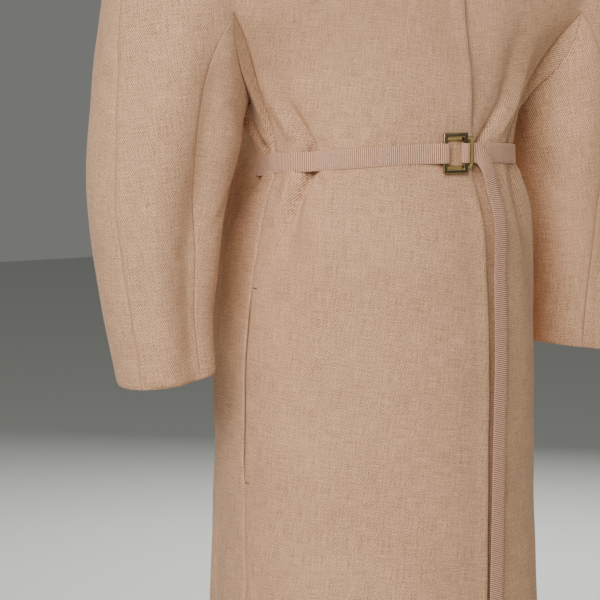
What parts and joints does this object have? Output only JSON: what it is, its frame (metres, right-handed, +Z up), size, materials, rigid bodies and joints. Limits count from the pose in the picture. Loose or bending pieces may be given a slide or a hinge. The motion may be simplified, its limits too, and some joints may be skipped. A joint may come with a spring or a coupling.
{
  "type": "redingote",
  "caption": "Worn beige wool redingote, collarless, with wide kimono sleeves, a fly front and a narrow ribbon belt with a brass buckle.",
  "frame": {"origin": "midway between the side neck points, at their level, where the wearer's shoulders hold the coat", "axes": "+Z up, -Y the way the coat faces, +X towards the wearer's left"},
  "size_m": [0.6606, 0.3505, 1.1299],
  "materials": {
    "wool_front": "beige wool, double-faced, matt with a short nap",
    "wool_back": "beige wool, double-faced, matt with a short nap",
    "wool_side": "beige wool, double-faced, matt with a short nap",
    "wool_undersleeve": "beige wool, double-faced, matt with a short nap",
    "grosgrain": "ribbed grosgrain ribbon, low sheen",
    "brass": "antique brass, satin"
  },
  "bodies": {
    "root": {"front_right": "wool_front", "front_left": "wool_front", "back_right": "wool_back", "back_left": "wool_back", "side_right": "wool_side", "side_left": "wool_side", "undersleeve_right": "wool_undersleeve", "undersleeve_left": "wool_undersleeve", "belt_right": "grosgrain", "belt_left": "grosgrain", "buckle_frame": "brass", "buckle_ring": "brass"}
  },
  "joints": []
}
